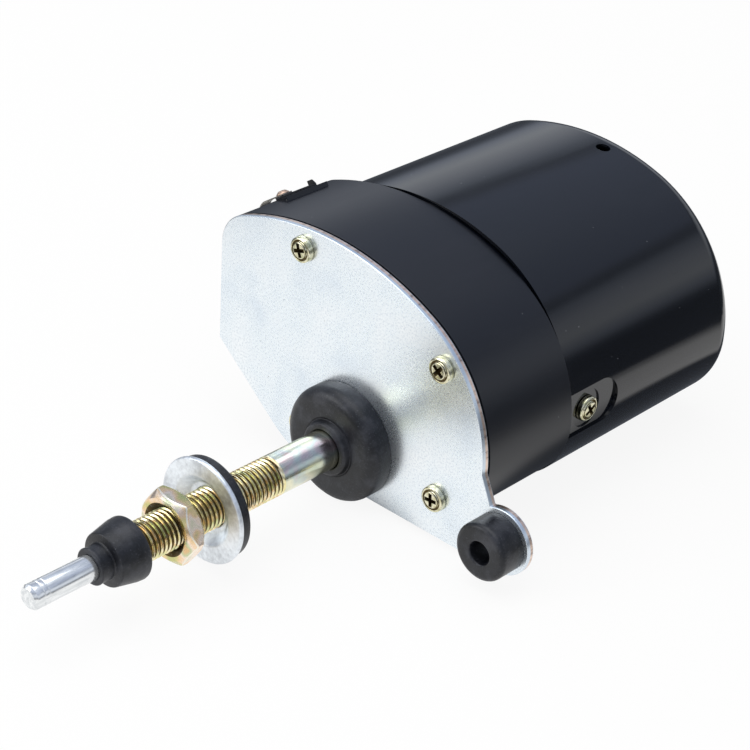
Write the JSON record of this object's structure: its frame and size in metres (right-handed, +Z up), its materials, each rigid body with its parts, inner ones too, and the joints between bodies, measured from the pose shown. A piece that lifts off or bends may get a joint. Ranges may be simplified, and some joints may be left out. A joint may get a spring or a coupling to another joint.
{
  "type": "wiper motor",
  "caption": "Windscreen wiper motor with a D-shaped can, a gear housing on a zinc plate with an ear, and a threaded neck round its output shaft.",
  "frame": {"origin": "on the output shaft's axis, in the front face of the zinc plate, where the neck leaves it", "axes": "-Y along the output shaft towards its tip, +Y towards the motor can, +Z up through the can's arched side, +X towards the plate's ear"},
  "size_m": [0.1059, 0.1963, 0.065],
  "materials": {
    "zinc_plate": "bright zinc",
    "can_paint": "gloss black",
    "housing_paint": "satin black",
    "yellow_zinc": "iridescent yellow zinc",
    "washer_zinc": "silver zinc",
    "rubber": "moulded black",
    "gasket": "pressed fibre",
    "bright_steel": "ground",
    "gear_steel": "machined, greased",
    "gear_nylon": "moulded, natural",
    "bronze": "sintered bronze",
    "copper": "copper",
    "enamel_wire": "enamelled copper",
    "lamination": "stacked sheet",
    "magnet": "ferrite",
    "yoke": "rolled sheet",
    "carbon": "pressed carbon",
    "laminate": "phenolic board",
    "terminal_board": "black board",
    "tinned_brass": "tinned",
    "spring_steel": "hardened"
  },
  "bodies": {
    "motor_body": {"front_plate": "zinc_plate", "plate_gasket": "gasket", "gear_housing": "housing_paint", "motor_can": "can_paint", "neck_tube": "yellow_zinc", "neck_bushes": "bronze", "neck_seal": "rubber", "rubber_washer": "rubber", "cup_washer": "washer_zinc", "hex_nut": "yellow_zinc", "shaft_boot": "rubber", "ear_grommet": "rubber", "plate_screws": "yellow_zinc", "can_screws": "yellow_zinc", "terminal_strip": "terminal_board", "terminal_blade": "tinned_brass", "terminal_rivet": "copper", "crank_stud": "bright_steel", "second_idler_stud": "bright_steel", "first_idler_stud": "bright_steel", "sector_stud": "bright_steel", "stud_clips": "spring_steel", "thrust_washer": "bronze", "yoke_ring": "yoke", "field_magnets": "magnet", "front_motor_bush": "bronze", "rear_motor_bush": "bronze", "bush_carrier": "yoke", "thrust_plate": "spring_steel", "brush_plate": "laminate", "brush_holders": "tinned_brass", "carbon_brushes": "carbon", "brush_springs": "spring_steel"},
    "armature": {"motor_pinion": "gear_steel", "armature_core": "lamination", "armature_windings": "enamel_wire", "commutator": "copper", "armature_shaft": "bright_steel"},
    "first_idler": {"first_idler_gear": "gear_nylon", "first_idler_pinion": "gear_steel"},
    "second_idler": {"second_idler_gear": "gear_nylon", "second_idler_pinion": "gear_steel"},
    "crank": {"crank_gear": "gear_steel", "crank_pin": "bright_steel"},
    "rod": {"connecting_rod": "yoke"},
    "sector": {"sector_gear": "gear_steel", "rocker_pin": "bright_steel"},
    "output": {"output_shaft": "bright_steel", "output_pinion": "gear_steel", "output_clip": "spring_steel"}
  },
  "joints": [
    {"name": "armature_spin", "type": "hinge", "parent": "motor_body", "child": "armature", "pos_m": [-0.002, 0.06, 0.0195], "axis": [0, -1, 0], "continuous": true},
    {"name": "first_idler_spin", "type": "hinge", "parent": "motor_body", "child": "first_idler", "pos_m": [-0.01193, 0.022, 0.00825], "axis": [0, -1, 0], "continuous": true},
    {"name": "second_idler_spin", "type": "hinge", "parent": "motor_body", "child": "second_idler", "pos_m": [-0.00922, 0.018, 0.02645], "axis": [0, -1, 0], "continuous": true},
    {"name": "crank_spin", "type": "hinge", "parent": "motor_body", "child": "crank", "pos_m": [0.013, 0.014, 0.0205], "axis": [0, -1, 0], "continuous": true},
    {"name": "rod_turn", "type": "hinge", "parent": "crank", "child": "rod", "pos_m": [0.0151, 0.0093, 0.02722], "axis": [0, -1, 0], "continuous": true},
    {"name": "output_sweep", "type": "hinge", "parent": "motor_body", "child": "output", "pos_m": [0, 0, 0], "axis": [0, -1, 0], "range_deg": [-52.5, 52.5]},
    {"name": "sector_swing", "type": "hinge", "parent": "motor_body", "child": "sector", "pos_m": [-0.01032, 0.005, 0.01474], "axis": [0, -1, 0], "range_deg": [-26.3, 26.3]}
  ],
  "couplings": [
    {"joint": "first_idler_spin", "follows": "armature_spin", "ratio": -0.25},
    {"joint": "second_idler_spin", "follows": "armature_spin", "ratio": 0.069444},
    {"joint": "crank_spin", "follows": "armature_spin", "ratio": -0.01929},
    {"joint": "rod_turn", "follows": "armature_spin", "ratio": 0.01929},
    {"joint": "sector_swing", "follows": "output_sweep", "ratio": -0.5}
  ]
}
